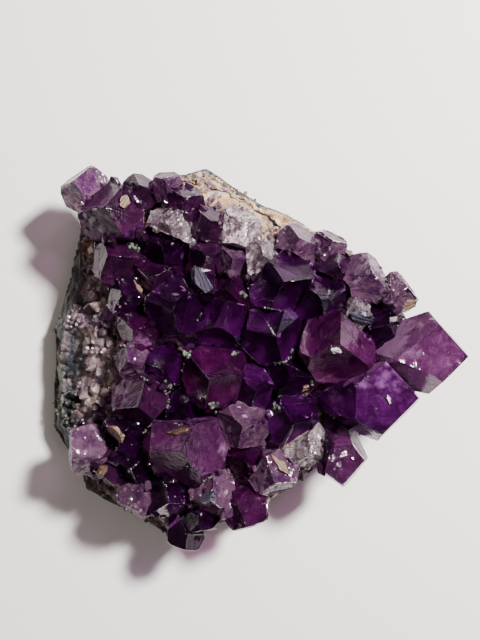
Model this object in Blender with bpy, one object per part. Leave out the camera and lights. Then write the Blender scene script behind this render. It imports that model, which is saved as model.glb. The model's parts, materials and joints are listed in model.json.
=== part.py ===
"""Amethyst cluster: a broken piece of geode wall with amethyst crystals on its inner side.

The wall is three natural layers, each a solid of its own: a thin greenish basalt rind outside, a band
of grey agate, and a crust of milky quartz. The crystals grow out of sockets in the crust. Every
crystal is one convex solid: six prism faces that draw in towards the root, six faces of its point, a
root face, and a flat growth seam against each neighbour that it touches.

+Z points out of the crystal bed, +X towards the two largest crystals, and the origin is the middle of
the bounding box's bottom. Sizes are in millimetres, and MM turns them into Blender's metres.
"""

import math
from typing import NamedTuple

import bmesh
import bpy
import numpy as np
from mathutils import Matrix, Vector, noise
from mathutils.bvhtree import BVHTree

MM = 0.001

# Driving dimensions of the wall.
WALL_CENTRE = Vector((-8.0, 0.0))
SPOKES = 48  # points round each ring of the wall
RIND_THICKNESS = 3.4
AGATE_THICKNESS = 4.8
BED_HEIGHT = 21.0  # of the crust's inner side, where the crystals stand
BED_WAVES = 1.6  # how far the bed rises and falls
BED_WAVE_LENGTH = 24.0
SHOULDER_DROP = 2.0  # the bed rounds down at the broken edge
FLAT_SHARE = 0.55  # share of the underside that is a flat resting face
CURL = 5.0  # rise of the wall's underside from its flat face to its edge
UNDERCUT = 5.5  # the underside's edge lies this far inside the widest outline
CORNERS = (0, 3, 5, 9, 12, 14, 18, 21, 23, 27, 30, 34, 37, 39, 43, 46)  # spokes where two breaks meet
CHIPPING = 2.2  # how unevenly the layers broke at the corners
ROUGHNESS = 1.0  # of the broken flanks
ROUGHNESS_GRAIN = 5.0

# Driving dimensions of the crystals.
JOINT = 0.3  # clear gap between touching pieces
POINT_SLOPE = 1.27  # a quartz point's height over its half width, from its 51.8 degree face angle
PRISM_SHOWN = 3.0  # length of prism that stands out of the bed under the point
ROOT_DEPTH = 4.8  # how deep the roots sit in the crust
TAPER = 0.11  # how much a half width shrinks towards the root, for each millimetre of length
LEANING_TAPER = 0.13  # the same, added for a crystal that leans by 45 degrees
MINOR_SETBACK = 0.34  # three of a point's six faces stand back by this share of its half width

# The widest outline of the wall, anticlockwise from the east.
OUTLINE = [
    (44.5, 5), (41.5, 17), (31.5, 26.5), (19, 34), (5, 40), (-7, 49.5), (-18, 53.5),
    (-33, 51), (-47, 47), (-51.5, 34), (-53.5, 22), (-57.5, 11), (-57.8, -1), (-58.5, -12),
    (-57, -22), (-52, -32), (-45, -41), (-33, -48), (-20, -50), (-8, -46.5), (3, -40.5),
    (16, -32), (25, -23), (33, -14), (40, -6),
]


class Crystal(NamedTuple):
    """A crystal by where its tip stands over the bed, and how it leans, in millimetres and degrees."""

    name: str
    tone: str
    x: float
    y: float
    half_width: float
    lean_x: float = 0.0  # sideways reach of the axis for each millimetre of its height
    lean_y: float = 0.0
    twist: float = 0.0  # turn of its six sides about its own axis
    lift: float = 0.0  # how much further than usual it stands out

    @property
    def axis(self):
        return Vector((self.lean_x, self.lean_y, 1.0)).normalized()

    @property
    def tip(self):
        rise = POINT_SLOPE * self.half_width + PRISM_SHOWN + self.lift
        return Vector((self.x, self.y, bed_height(self.x, self.y) + rise))

    @property
    def heart(self):
        """The middle of the point's base, where the crystal is at its full width."""
        return self.tip - self.axis * (0.8 * POINT_SLOPE * self.half_width)

    @property
    def root(self):
        drop = self.tip.z - bed_height(self.x, self.y) + ROOT_DEPTH
        return self.tip - self.axis * (drop / self.axis.z)


CRYSTALS = [
    # The pale and purple group that stands over the north-west corner.
    Crystal("north_west_pale", "lilac", -49.0, 46.5, 6.2, -0.35, 0.30, 12, -1.0),
    Crystal("north_west_large", "violet", -40.0, 39.0, 8.4, -0.10, 0.12, 20, 3.0),
    Crystal("north_west_rim", "violet", -32.0, 45.5, 4.8, 0.05, 0.28, 4, 0.5),
    Crystal("north_rim_small", "lilac", -25.0, 46.8, 4.0, 0.0, 0.25, 33, 0.5),
    Crystal("north_grey", "violet", -20.0, 42.0, 5.4, 0.10, 0.20, 48, 1.0),
    Crystal("north_clear", "clear", -24.5, 35.5, 6.2, -0.12, 0.10, 8, 2.0),
    Crystal("north_violet", "violet", -14.0, 35.8, 5.2, 0.05, 0.12, 27, 2.0),
    Crystal("north_sparkling", "clear", -5.0, 35.5, 5.6, 0.15, 0.22, 50, 0.5),
    Crystal("north_waisted", "violet", -14.5, 27.0, 4.8, 0.0, 0.05, 15, 1.5),
    # The dark heart of the bed, row by row from north to south.
    Crystal("west_upper_round", "violet", -40.0, 27.0, 6.8, -0.22, 0.05, 40, 0.0),
    Crystal("core_black", "deep", -26.0, 29.5, 6.6, -0.05, -0.05, 22, -1.0),
    Crystal("core_wine", "wine", -28.5, 21.5, 5.8, -0.08, 0.0, 58, 1.0),
    Crystal("core_blade", "deep", -16.0, 18.0, 5.0, 0.02, -0.12, 30, 4.0),
    Crystal("core_north_small", "lilac", -7.5, 26.0, 4.8, 0.0, 0.05, 10, 0.0),
    Crystal("core_north_dark", "wine", -8.5, 18.6, 5.0, 0.05, 0.0, 44, 0.0),
    Crystal("core_north_pale", "clear", 0.5, 27.0, 5.4, 0.10, 0.12, 18, 1.0),
    Crystal("core_shield", "deep", 5.5, 20.0, 9.2, 0.02, -0.10, 52, 1.0),
    Crystal("core_east_wedge", "deep", 16.5, 15.5, 7.8, 0.10, -0.05, 24, 0.5),
    Crystal("core_west_large", "deep", -23.0, 13.5, 8.2, -0.05, -0.10, 6, 2.0),
    Crystal("west_dark", "deep", -36.5, 17.0, 5.6, -0.20, 0.05, 36, -0.5),
    Crystal("core_middle", "deep", -10.5, 9.0, 7.2, 0.0, -0.05, 16, 1.0),
    Crystal("west_low", "wine", -33.5, 7.5, 5.2, -0.15, 0.0, 50, -0.5),
    Crystal("core_east_deep", "deep", 3.5, 6.0, 8.2, 0.05, -0.02, 38, 1.0),
    Crystal("core_small_west", "deep", -26.0, -2.5, 5.6, -0.05, -0.05, 28, -0.5),
    Crystal("west_knob", "lilac", -35.0, -0.5, 4.8, -0.20, 0.0, 12, 1.0),
    Crystal("core_red_heart", "wine", -13.5, -5.0, 9.0, -0.12, 0.02, 54, 2.5),
    Crystal("core_south_middle", "deep", -1.5, -8.0, 6.4, 0.08, -0.05, 20, 0.5),
    Crystal("core_south_east", "deep", 7.5, -4.5, 6.2, 0.02, -0.08, 46, 1.0),
    # The pale northern and eastern rim.
    Crystal("north_east_mauve", "lilac", 10.0, 31.0, 5.8, 0.12, 0.20, 26, 0.0),
    Crystal("north_east_bud", "violet", 19.5, 24.5, 4.8, 0.12, 0.12, 2, 1.5),
    Crystal("north_east_outer", "lilac", 18.5, 31.0, 4.6, 0.20, 0.28, 42, -1.0),
    Crystal("east_lilac", "lilac", 28.5, 22.5, 6.8, 0.25, 0.25, 14, 0.5),
    Crystal("east_slab", "lilac", 38.0, 19.0, 5.2, 0.45, 0.30, 34, 0.0),
    # The eastern crystals, with the two largest, which reach out over the edge.
    Crystal("east_wine_large", "wine", 19.5, 4.2, 10.6, 0.02, 0.02, 10, 3.5),
    Crystal("east_ridge", "clear", 25.5, 11.5, 4.6, 0.12, 0.05, 56, 3.0),
    Crystal("east_slice", "deep", 33.0, 9.0, 6.0, 0.30, 0.10, 22, 0.5),
    Crystal("east_giant", "violet", 52.3, 1.0, 11.4, 1.15, -0.05, 92, 0.0),
    Crystal("south_east_giant", "deep", 39.8, -9.6, 10.4, 1.10, 0.02, 86, 1.5),
    Crystal("south_east_spur", "violet", 20.8, -32.6, 6.8, 0.04, -1.05, 96, -1.0),
    # The southern half, which ends in loose points along the broken edge.
    Crystal("west_striped", "violet", -32.0, -12.0, 7.4, -0.05, -0.15, 32, 2.0),
    Crystal("south_west_blade", "deep", -20.5, -13.5, 5.2, 0.0, -0.05, 4, 0.0),
    Crystal("south_large", "violet", -20.5, -23.0, 11.2, -0.05, -0.05, 48, 3.5),
    Crystal("south_middle_pale", "lilac", -5.0, -17.0, 7.4, 0.0, 0.0, 18, 1.5),
    Crystal("south_east_dark", "deep", 8.0, -16.5, 6.8, 0.05, -0.10, 40, 0.5),
    Crystal("south_rusty", "wine", -4.5, -26.0, 5.0, 0.0, 0.0, 52, -1.0),
    Crystal("south_west_dark", "deep", -37.5, -19.5, 5.4, -0.20, -0.12, 26, 0.0),
    Crystal("south_west_pale", "lilac", -49.5, -25.5, 6.6, -0.50, -0.15, 8, -3.0),
    Crystal("south_west_small", "violet", -42.0, -30.0, 4.8, -0.25, -0.25, 44, -1.0),
    Crystal("south_west_middle", "deep", -34.0, -28.5, 5.6, -0.12, -0.18, 16, 0.0),
    Crystal("south_west_rim", "lilac", -33.5, -38.8, 5.6, -0.20, -0.35, 30, -0.5),
    Crystal("south_dark", "deep", -24.0, -37.0, 6.8, -0.05, -0.25, 54, 0.0),
    Crystal("south_sparkling", "lilac", -13.5, -35.5, 6.8, 0.0, -0.15, 12, 2.0),
    Crystal("south_wedge", "deep", -16.0, -44.5, 5.0, 0.05, -0.50, 36, -1.0),
    Crystal("south_tip", "deep", -20.5, -50.0, 4.6, -0.10, -0.75, 22, -3.0),
    Crystal("south_point", "wine", -4.0, -43.5, 5.6, 0.05, -0.55, 50, -0.5),
    Crystal("south_milky", "lilac", 3.5, -32.0, 6.2, 0.10, -0.30, 28, 0.5),
    Crystal("south_east_clear", "clear", 13.0, -24.5, 6.2, 0.15, -0.25, 6, -0.5),
]

TONES = {  # base colour, roughness
    "deep": ((0.10, 0.012, 0.13), 0.06),
    "wine": ((0.17, 0.02, 0.12), 0.08),
    "violet": ((0.24, 0.07, 0.27), 0.08),
    "lilac": ((0.42, 0.26, 0.42), 0.12),
    "clear": ((0.62, 0.54, 0.60), 0.10),
}
ROCKS = {
    "quartz_crust": ((0.32, 0.25, 0.25), 0.35),
    "agate_band": ((0.20, 0.21, 0.23), 0.30),
    "basalt_rind": ((0.20, 0.22, 0.19), 0.85),
}


def smoothstep(low, high, value):
    share = min(max((value - low) / (high - low), 0.0), 1.0)
    return share * share * (3.0 - 2.0 * share)


def bed_height(x, y):
    """Height of the crust's inner side, before its edge rounds down."""
    return BED_HEIGHT + BED_WAVES * noise.noise(Vector((x, y, 0.0)) / BED_WAVE_LENGTH)


# The wall ---------------------------------------------------------------------------------------


def closed_curve(corners, count):
    """Points spaced evenly along the smooth closed curve through the corners."""
    corners = np.array(corners, float)
    before, after, beyond = (np.roll(corners, shift, axis=0) for shift in (1, -1, -2))
    fine = []
    for share in np.linspace(0.0, 1.0, 12, endpoint=False):
        bend = 2 * before - 5 * corners + 4 * after - beyond
        swing = 3 * corners - before - 3 * after + beyond
        fine.append(corners + 0.5 * (share * (after - before) + share**2 * bend + share**3 * swing))
    fine = np.stack(fine, axis=1).reshape(-1, 2)
    fine = np.vstack([fine, fine[:1]])
    walked = np.concatenate([[0.0], np.cumsum(np.linalg.norm(np.diff(fine, axis=0), axis=1))])
    stops = np.linspace(0.0, walked[-1], count, endpoint=False)
    return [Vector((np.interp(s, walked, fine[:, 0]), np.interp(s, walked, fine[:, 1]))) for s in stops]


SPOKE_ENDS = closed_curve(OUTLINE, SPOKES)


def inset_of(level, outward):
    """How far the wall's edge lies inside the widest outline, at each of its four surfaces."""
    west = max(0.0, -outward.x)
    top = 2.6 + 10.4 * west * west
    return (UNDERCUT, 0.8, 0.4 + 0.25 * top, top)[level]


def corner_point(level, spoke):
    """A corner of a surface's edge, where two flat breaks of the rock meet."""
    reach = SPOKE_ENDS[spoke] - WALL_CENTRE
    outward = reach.normalized()
    chip = CHIPPING * noise.noise(Vector((1.7 * spoke, 2.3 * level, 5.0)))
    return WALL_CENTRE + outward * (reach.length - inset_of(level, outward) + chip)


def edge_point(level, spoke):
    """Where a surface's edge meets a spoke, on the straight line between two corners."""
    last = next((corner for corner in CORNERS if corner > spoke), SPOKES)
    first = max(corner for corner in CORNERS if corner <= spoke)
    share = (spoke - first) / (last - first)
    return corner_point(level, first).lerp(corner_point(level, last % SPOKES), share)


def surface_point(level, spoke, share):
    """A point of one of the wall's surfaces: 0 underside, 1 top of the rind, 2 of the agate, 3 the bed."""
    flat = WALL_CENTRE.lerp(edge_point(level, spoke), share)
    curl = CURL * smoothstep(FLAT_SHARE, 1.25, share)
    if level == 0:
        return Vector((flat.x, flat.y, curl))
    wave = noise.noise(Vector((flat.x, flat.y, 30.0 * level)) / 16.0)
    if level == 3:
        height = bed_height(flat.x, flat.y) - SHOULDER_DROP * smoothstep(0.78, 1.0, share)
    else:
        height = curl + RIND_THICKNESS + (level - 1) * AGATE_THICKNESS + 0.9 * wave
    point = Vector((flat.x, flat.y, height))
    return roughened(point, ROUGHNESS * smoothstep(0.7, 1.0, share))


def roughened(point, amount):
    """The point moved sideways by a smooth three-dimensional noise, as rock breaks."""
    grain = point / ROUGHNESS_GRAIN
    push = Vector((noise.noise(grain), noise.noise(grain + Vector((40.0, 0.0, 0.0))), 0.0))
    return point + push * amount


def flank_point(level, spoke, share):
    """A point of the broken flank between two surfaces."""
    low, high = surface_point(level, spoke, 1.0), surface_point(level + 1, spoke, 1.0)
    return roughened(low.lerp(high, share), 2.0 * ROUGHNESS * math.sin(math.pi * share))


def add_ring(mesh, points):
    return [mesh.verts.new(point) for point in points]


def bridge(mesh, ring, after):
    for i in range(SPOKES):
        j = (i + 1) % SPOKES
        mesh.faces.new((ring[i], ring[j], after[j], after[i]))


def cap(mesh, ring, middle):
    """Closes a ring with a fan about a middle point, or with one flat face where there is none."""
    if middle is None:
        mesh.faces.new(ring)
        return
    hub = mesh.verts.new(middle)
    for i in range(SPOKES):
        mesh.faces.new((ring[i], ring[(i + 1) % SPOKES], hub))


def surface_middle(level, up):
    heights = [surface_point(level, spoke, 0.05).z for spoke in range(SPOKES)]
    return Vector((WALL_CENTRE.x, WALL_CENTRE.y, sum(heights) / SPOKES + up))


def layer_mesh(level, flank_rings, top_shares):
    """One layer of the wall, from its lower surface up its flank and in over its upper surface."""
    mesh = bmesh.new()
    half_gap = JOINT / 2
    up = Vector((0.0, 0.0, half_gap if level else 0.0))
    down = Vector((0.0, 0.0, 0.0 if level == 2 else -half_gap))
    bottom_shares = (0.3, FLAT_SHARE, 0.8, 1.0) if level else (FLAT_SHARE, 0.8, 1.0)
    rings = [[surface_point(level, s, share) + up for s in range(SPOKES)] for share in bottom_shares]
    for step in range(1, flank_rings + 1):
        share = step / (flank_rings + 1)
        rings.append([flank_point(level, s, share) for s in range(SPOKES)])
    for share in top_shares:
        rings.append([surface_point(level + 1, s, share) + down for s in range(SPOKES)])
    made = [add_ring(mesh, ring) for ring in rings]
    for ring, after in zip(made, made[1:]):
        bridge(mesh, ring, after)
    cap(mesh, made[0], surface_middle(level, half_gap) if level else None)
    cap(mesh, made[-1], surface_middle(level + 1, down.z))
    bmesh.ops.recalc_face_normals(mesh, faces=mesh.faces)
    bmesh.ops.triangulate(mesh, faces=[face for face in mesh.faces if len(face.verts) == 4])
    return mesh


# The crystals -----------------------------------------------------------------------------------


def clip(mesh, point, normal):
    """Cuts away what lies beyond a plane and closes the cut with one flat face."""
    everything = mesh.verts[:] + mesh.edges[:] + mesh.faces[:]
    cut = bmesh.ops.bisect_plane(
        mesh, geom=everything, dist=1e-5, plane_co=point, plane_no=normal, clear_outer=True
    )
    edges = [part for part in cut["geom_cut"] if isinstance(part, bmesh.types.BMEdge)]
    if len(edges) > 2:
        bmesh.ops.contextual_create(mesh, geom=edges)


def crystal_faces(crystal):
    """(point, outward normal) of each natural face: six prism faces, six point faces and the root."""
    turn = crystal.axis.to_track_quat("Z", "Y").to_matrix()
    taper = TAPER + LEANING_TAPER * math.hypot(crystal.lean_x, crystal.lean_y)
    faces = [(crystal.root, -crystal.axis)]
    slope = math.atan(POINT_SLOPE)
    for side in range(6):
        angle = math.radians(crystal.twist + 60.0 * side)
        outward = turn @ Vector((math.cos(angle), math.sin(angle), 0.0))
        uneven = 1.0 + 0.09 * noise.noise(outward * 3.0 + crystal.tip / 9.0)
        width = crystal.half_width * uneven
        faces.append((crystal.heart + outward * width, (outward - crystal.axis * taper).normalized()))
        normal = outward * math.sin(slope) + crystal.axis * math.cos(slope)
        setback = crystal.half_width * MINOR_SETBACK * (side % 2)
        faces.append((crystal.tip + normal * setback, normal))
    return faces


def seam_between(first, second):
    """The plane where two crystals met as they grew: (point, normal towards the second)."""
    across = second.heart - first.heart
    upright = (first.axis + second.axis).normalized()
    normal = (across - upright * across.dot(upright)).normalized()
    reach = across.dot(normal)
    share = 0.5 + (first.half_width**2 - second.half_width**2) / (2.0 * reach * reach)
    return first.heart + normal * (reach * min(max(share, 0.28), 0.72)), normal


def crystal_mesh(crystal, seams, grow=0.0):
    """The convex solid inside all of a crystal's faces, each moved out by grow."""
    mesh = bmesh.new()
    bmesh.ops.create_cube(mesh, size=120.0, matrix=Matrix.Translation(crystal.heart))
    for point, normal in crystal_faces(crystal) + seams:
        clip(mesh, point + normal * grow, normal)
    bmesh.ops.recalc_face_normals(mesh, faces=mesh.faces)
    return mesh


def seams_of_all():
    """For each crystal, its seams, set back so that touching crystals stay a joint apart."""
    grown = []
    for crystal in CRYSTALS:
        mesh = crystal_mesh(crystal, [], grow=JOINT)
        grown.append(BVHTree.FromBMesh(mesh))
        mesh.free()
    seams = [[] for _ in CRYSTALS]
    for i, first in enumerate(CRYSTALS):
        for j in range(i + 1, len(CRYSTALS)):
            if not grown[i].overlap(grown[j]):
                continue
            point, normal = seam_between(first, CRYSTALS[j])
            seams[i].append((point - normal * (JOINT / 2), normal))
            seams[j].append((point + normal * (JOINT / 2), -normal))
    return seams


# Objects ----------------------------------------------------------------------------------------


def material(name, colour, roughness):
    made = bpy.data.materials.new(name)
    made.use_nodes = True
    surface = made.node_tree.nodes["Principled BSDF"]
    surface.inputs["Base Color"].default_value = (*colour, 1.0)
    surface.inputs["Roughness"].default_value = roughness
    surface.inputs["IOR"].default_value = 1.54
    return made


def add_object(name, mesh, place, collection):
    """An object whose origin and axes are those of place, with the mesh where it was modelled."""
    mesh.transform(place.inverted())
    mesh.transform(Matrix.Diagonal((MM, MM, MM, 1.0)))
    data = bpy.data.meshes.new(name)
    mesh.to_mesh(data)
    mesh.free()
    obj = bpy.data.objects.new(name, data)
    obj.matrix_world = Matrix.Translation(place.translation * MM) @ place.to_3x3().to_4x4()
    collection.objects.link(obj)
    return obj


def crystal_place(crystal):
    """A crystal's own frame: its origin in the root face and its +Z along its axis to the tip."""
    turn = crystal.axis.to_track_quat("Z", "Y").to_matrix().to_4x4()
    return Matrix.Translation(crystal.root) @ turn


def add_crystals(scene_objects, cutters):
    """The crystals, and for each a cutter that is a joint larger all round, for its socket."""
    materials = {tone: material("amethyst_" + tone, *look) for tone, look in TONES.items()}
    crystals, sockets = [], []
    for crystal, seams in zip(CRYSTALS, seams_of_all()):
        place = crystal_place(crystal)
        solid = crystal_mesh(crystal, seams)
        crystals.append(add_object("crystal_" + crystal.name, solid, place, scene_objects))
        crystals[-1].data.materials.append(materials[crystal.tone])
        socket = crystal_mesh(crystal, seams, grow=JOINT)
        sockets.append(add_object("socket_" + crystal.name, socket, place, cutters))
        sockets[-1].hide_render = True
        sockets[-1].display_type = "WIRE"
    return crystals, sockets


def add_wall(scene_objects, cutters):
    """The rind, the agate and the crust, with the crystals' sockets cut into them."""
    layers = []
    plans = (
        ("basalt_rind", 1, (1.0, 0.8, FLAT_SHARE, 0.3)),
        ("agate_band", 1, (1.0, 0.8, FLAT_SHARE, 0.3)),
        ("quartz_crust", 3, (1.0, 0.9, 0.78, 0.62, 0.45, 0.3, 0.15)),
    )
    for level, (name, flank_rings, top_shares) in enumerate(plans):
        mesh = layer_mesh(level, flank_rings, top_shares)
        layer = add_object(name, mesh, Matrix.Identity(4), scene_objects)
        layer.data.materials.append(material(name, *ROCKS[name]))
        sockets = layer.modifiers.new("crystal_sockets", "BOOLEAN")
        sockets.operation = "DIFFERENCE"
        sockets.operand_type = "COLLECTION"
        sockets.collection = cutters
        layers.append(layer)
    return layers


def stand_on_origin(objects, parent):
    """Moves the cluster so that its bounding box stands on the origin, in the middle."""
    bpy.context.view_layer.update()
    graph = bpy.context.evaluated_depsgraph_get()
    corners = []
    for obj in objects:
        shown = obj.evaluated_get(graph)
        corners += [shown.matrix_world @ vertex.co for vertex in shown.data.vertices]
    low = Vector(map(min, zip(*corners)))
    high = Vector(map(max, zip(*corners)))
    parent.location = (-(low.x + high.x) / 2, -(low.y + high.y) / 2, -low.z)
    print("size in mm:", [round(side / MM, 1) for side in high - low])
    print("wall centre at, in mm:", [round(c, 2) for c in WALL_CENTRE.to_3d() + parent.location / MM])


def main():
    for obj in list(bpy.data.objects):
        bpy.data.objects.remove(obj)
    scene_objects = bpy.context.scene.collection
    cutters = bpy.data.collections.new("sockets")
    scene_objects.children.link(cutters)
    cluster = bpy.data.objects.new("cluster", None)
    scene_objects.objects.link(cluster)
    crystals, sockets = add_crystals(scene_objects, cutters)
    layers = add_wall(scene_objects, cutters)
    for obj in crystals + sockets + layers:
        obj.parent = cluster
    stand_on_origin(crystals + layers, cluster)


main()
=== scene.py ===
# %% [markdown]
# # An amethyst cluster
#
# This is a broken piece of a geode's wall, lying on its back. Purple amethyst crystals crowd over a crust
# of milky quartz, on a band of grey agate and a thin dull rind of altered basalt. The frame already holds
# one solid for each crystal and each layer. This script gives them their real surface: bevelled and
# slightly wavy facets, chipped tips, crusty rock, druse and crumbs in the seams, and see-through stone.

# %% The frame
import json
import math
import random

import bpy
from mathutils import Matrix, Vector, noise
from mathutils.bvhtree import BVHTree


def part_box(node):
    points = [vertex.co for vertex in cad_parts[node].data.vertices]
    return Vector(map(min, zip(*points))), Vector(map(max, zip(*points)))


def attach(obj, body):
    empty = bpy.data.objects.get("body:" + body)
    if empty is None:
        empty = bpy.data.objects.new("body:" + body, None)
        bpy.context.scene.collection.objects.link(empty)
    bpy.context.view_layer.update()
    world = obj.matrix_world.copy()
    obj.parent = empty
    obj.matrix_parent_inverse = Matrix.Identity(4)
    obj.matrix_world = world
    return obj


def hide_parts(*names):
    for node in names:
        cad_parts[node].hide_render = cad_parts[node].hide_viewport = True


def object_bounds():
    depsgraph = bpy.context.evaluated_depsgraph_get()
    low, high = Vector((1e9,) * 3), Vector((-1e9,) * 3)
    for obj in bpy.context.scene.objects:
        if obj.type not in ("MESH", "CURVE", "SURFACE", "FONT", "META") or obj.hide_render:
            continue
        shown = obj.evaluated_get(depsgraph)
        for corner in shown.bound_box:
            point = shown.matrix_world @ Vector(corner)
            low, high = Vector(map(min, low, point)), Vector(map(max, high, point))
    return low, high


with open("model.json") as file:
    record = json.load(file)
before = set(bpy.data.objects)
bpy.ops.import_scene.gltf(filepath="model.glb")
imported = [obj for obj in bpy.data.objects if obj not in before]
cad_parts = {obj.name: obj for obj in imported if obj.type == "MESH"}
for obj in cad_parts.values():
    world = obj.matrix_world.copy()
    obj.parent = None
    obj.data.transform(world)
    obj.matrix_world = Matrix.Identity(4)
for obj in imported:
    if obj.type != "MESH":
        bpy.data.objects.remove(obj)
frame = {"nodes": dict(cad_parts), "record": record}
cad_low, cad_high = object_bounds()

MM = 0.001
nodes = frame["nodes"]
slot_of = {part["node"]: part["material_slot"] for part in frame["record"]["subparts"]}
crystal_names = sorted(name for name in nodes if name.startswith("crystal_"))
layer_names = ["basalt_rind", "agate_band", "quartz_crust"]
print(len(crystal_names), "crystals on", len(layer_names), "layers, size in mm:",
      [round(side / MM, 1) for side in cad_high - cad_low])

# %% [markdown]
# ## The camera and the light
#
# The cluster is looked at from straight above. A wide lens close by would spread the crystals' sides, so a
# long one stands a little under 40 cm away. The key light stands to the upper right, 55 degrees up, so
# that the shadow falls to the lower left. A large lamp would wash the facets out; this one is 10 cm wide,
# soft at the shadow's edge and still small enough to give a facet a glint. A wide, weak panel fills the
# shadows from the other side, six tiny ones all round add sparkle, and a pale world lights the rest. The
# view's contrast is raised a little, because amethyst is nearly black where it is thick.

# %% The camera
VIEW_CENTRE = Vector((-3.7, 9.6)) * MM  # the middle of the picture lies north-west of the cluster's middle
CAMERA_HEIGHT = 380 * MM
LENS = 75.7

camera_data = bpy.data.cameras.new("camera")
camera_data.lens = LENS
camera_data.clip_start = 0.01
camera = bpy.data.objects.new("camera", camera_data)
bpy.context.scene.collection.objects.link(camera)
camera.location = (VIEW_CENTRE.x, VIEW_CENTRE.y, CAMERA_HEIGHT)
bpy.context.scene.camera = camera
print("camera:", round(CAMERA_HEIGHT / MM), "mm up, with a lens of", LENS, "mm")

# %% The lights
KEY_SIDE = (0.62, 0.50, 1.15)
FILL_SIDE = (-0.9, -0.5, 0.9)
SPARKLES = 6
WORLD_TINT = (1.0, 0.86, 0.78, 1.0)
WORLD_STRENGTH = 0.12


def add_panel(name, towards, distance, size, power, colour):
    """A square light that stands in a direction from the cluster and faces it."""
    data = bpy.data.lights.new(name, "AREA")
    data.size, data.energy, data.color = size, power, colour
    panel = bpy.data.objects.new(name, data)
    bpy.context.scene.collection.objects.link(panel)
    direction = Vector(towards).normalized()
    panel.location = direction * distance
    panel.rotation_mode = "QUATERNION"
    panel.rotation_quaternion = (-direction).to_track_quat("-Z", "Y")
    return panel.name


panels = [add_panel("key", KEY_SIDE, 0.75, 0.10, 13.0, (1.0, 0.98, 0.95)),
          add_panel("fill", FILL_SIDE, 0.8, 0.5, 0.6, (1.0, 0.90, 0.84))]
for number in range(SPARKLES):
    turn = math.tau * number / SPARKLES + math.radians(15)
    side = (math.cos(turn), math.sin(turn), 0.8 + 0.9 * (number % 3))
    panels.append(add_panel(f"sparkle_{number}", side, 0.8, 0.022, 0.09, (1.0, 1.0, 1.0)))

world = bpy.data.worlds.new("studio")
world.use_nodes = True
world.node_tree.nodes["Background"].inputs["Color"].default_value = WORLD_TINT
world.node_tree.nodes["Background"].inputs["Strength"].default_value = WORLD_STRENGTH
bpy.context.scene.world = world
bpy.context.scene.view_settings.look = "AgX - Medium High Contrast"
print("lights:", panels)

# %% [markdown]
# ## Helpers for materials
#
# Colours are written as sRGB hex values, and one function turns them to the
# linear values that Blender's nodes want. A second small function adds any node with its settings and
# links, and hands back the output that the next node reads. So each material reads as a list of what it
# is made of, and a pattern's scale is one over a real size.


# %% Colour and nodes
def linear(hex_colour):
    """An sRGB hex value as the linear colour that a node wants."""
    shares = [int(hex_colour[i:i + 2], 16) / 255 for i in (1, 3, 5)]
    return (*[s / 12.92 if s <= 0.04045 else ((s + 0.055) / 1.055) ** 2.4 for s in shares], 1.0)


def feed(tree, node, inputs):
    """Gives a node's inputs a value, a hex colour, or another node's output to follow."""
    for socket, value in inputs.items():
        if isinstance(value, bpy.types.NodeSocket):
            tree.links.new(value, node.inputs[socket])
        else:
            node.inputs[socket].default_value = linear(value) if isinstance(value, str) else value


def add(tree, kind, inputs=None, out=0, stops=(), **settings):
    """Adds a node with its settings and inputs, and returns one of its outputs. The stops of a colour ramp
    are pairs of a place and a hex colour."""
    node = tree.nodes.new("ShaderNode" + kind)
    for name, value in settings.items():
        setattr(node, name, value)
    feed(tree, node, inputs or {})
    if stops:
        elements = node.color_ramp.elements
        while len(elements) < len(stops):
            elements.new(0.5)
        for element, (place, colour) in zip(elements, stops):
            element.position, element.color = place, linear(colour)
    return node.outputs[out]


# A MapRange node stretches the values between inputs 1 and 2 to those between 3 and 4, eased at both ends.
SMOOTH = {"interpolation_type": "SMOOTHSTEP"}
# A Mix node gives the colour of input 6 where its share, input 0, is 0, and that of input 7 where it is 1.
COLOURS = {"out": 2, "data_type": "RGBA"}


def new_material(name):
    """A material with its tree, its Principled shader, its output, and the place that its patterns read."""
    material = bpy.data.materials.new(name)
    material.use_nodes = True
    tree = material.node_tree
    place = add(tree, "TexCoord", out="Object")
    return material, tree, tree.nodes["Principled BSDF"], tree.nodes["Material Output"], place


print("mid grey in linear light:", round(linear("#808080")[0], 3))

# %% [markdown]
# ## Amethyst
#
# Amethyst is quartz that iron has coloured purple, so light goes into it, bends and comes out coloured.
# The colour sits in the points: a crystal is deep purple at its tip and pale and milky at its root.
# Every crystal carries an attribute that says how far along its length a spot is, and its place in the
# crystal's own frame in millimetres, so that zones and growth lines follow the crystal however it leans.
# Colour alone would look like painted plastic. So there are milky veils, healed cracks, bruised edges with
# a painted highlight, mottling on the cloudiest crystals, and a mosaic of little broken planes that glitter.
#
# Light has to reach the inside. A lamp's shadow ray doesn't bend, so for those rays alone the shader is a
# plain tinted window. Where a crystal has grown against its neighbours it isn't polished, and there a
# rough second material ends the view into it: dark above, pale and milky at the root.

# %% Colour zones and veils
QUARTZ_IOR = 1.544
ZONE_SIZE = 4.5 * MM
VEIL_SIZE = 2.8 * MM
CRACK_SPACING = 6 * MM
WANDER = 0.34  # how far a zone's border wanders, as a share of the crystal's length


def zones(tree, place, root, body, tip):
    """The colour from root to tip, how far up a spot counts, and the clouds that make the borders wander."""
    reach = add(tree, "Attribute", out="Fac", attribute_name="reach")
    cloud = add(tree, "TexNoise", {"Vector": place, "Scale": 1 / ZONE_SIZE, "Detail": 4.0, "Roughness": 0.6})
    wander = add(tree, "MapRange", {0: cloud, 1: 0.3, 2: 0.7, 3: -WANDER, 4: WANDER})
    level = add(tree, "Math", {0: reach, 1: wander}, operation="ADD")
    colour = add(tree, "ValToRGB", {0: level}, stops=((0.12, root), (0.42, body), (0.72, body), (0.98, tip)))
    return colour, level, cloud


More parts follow.
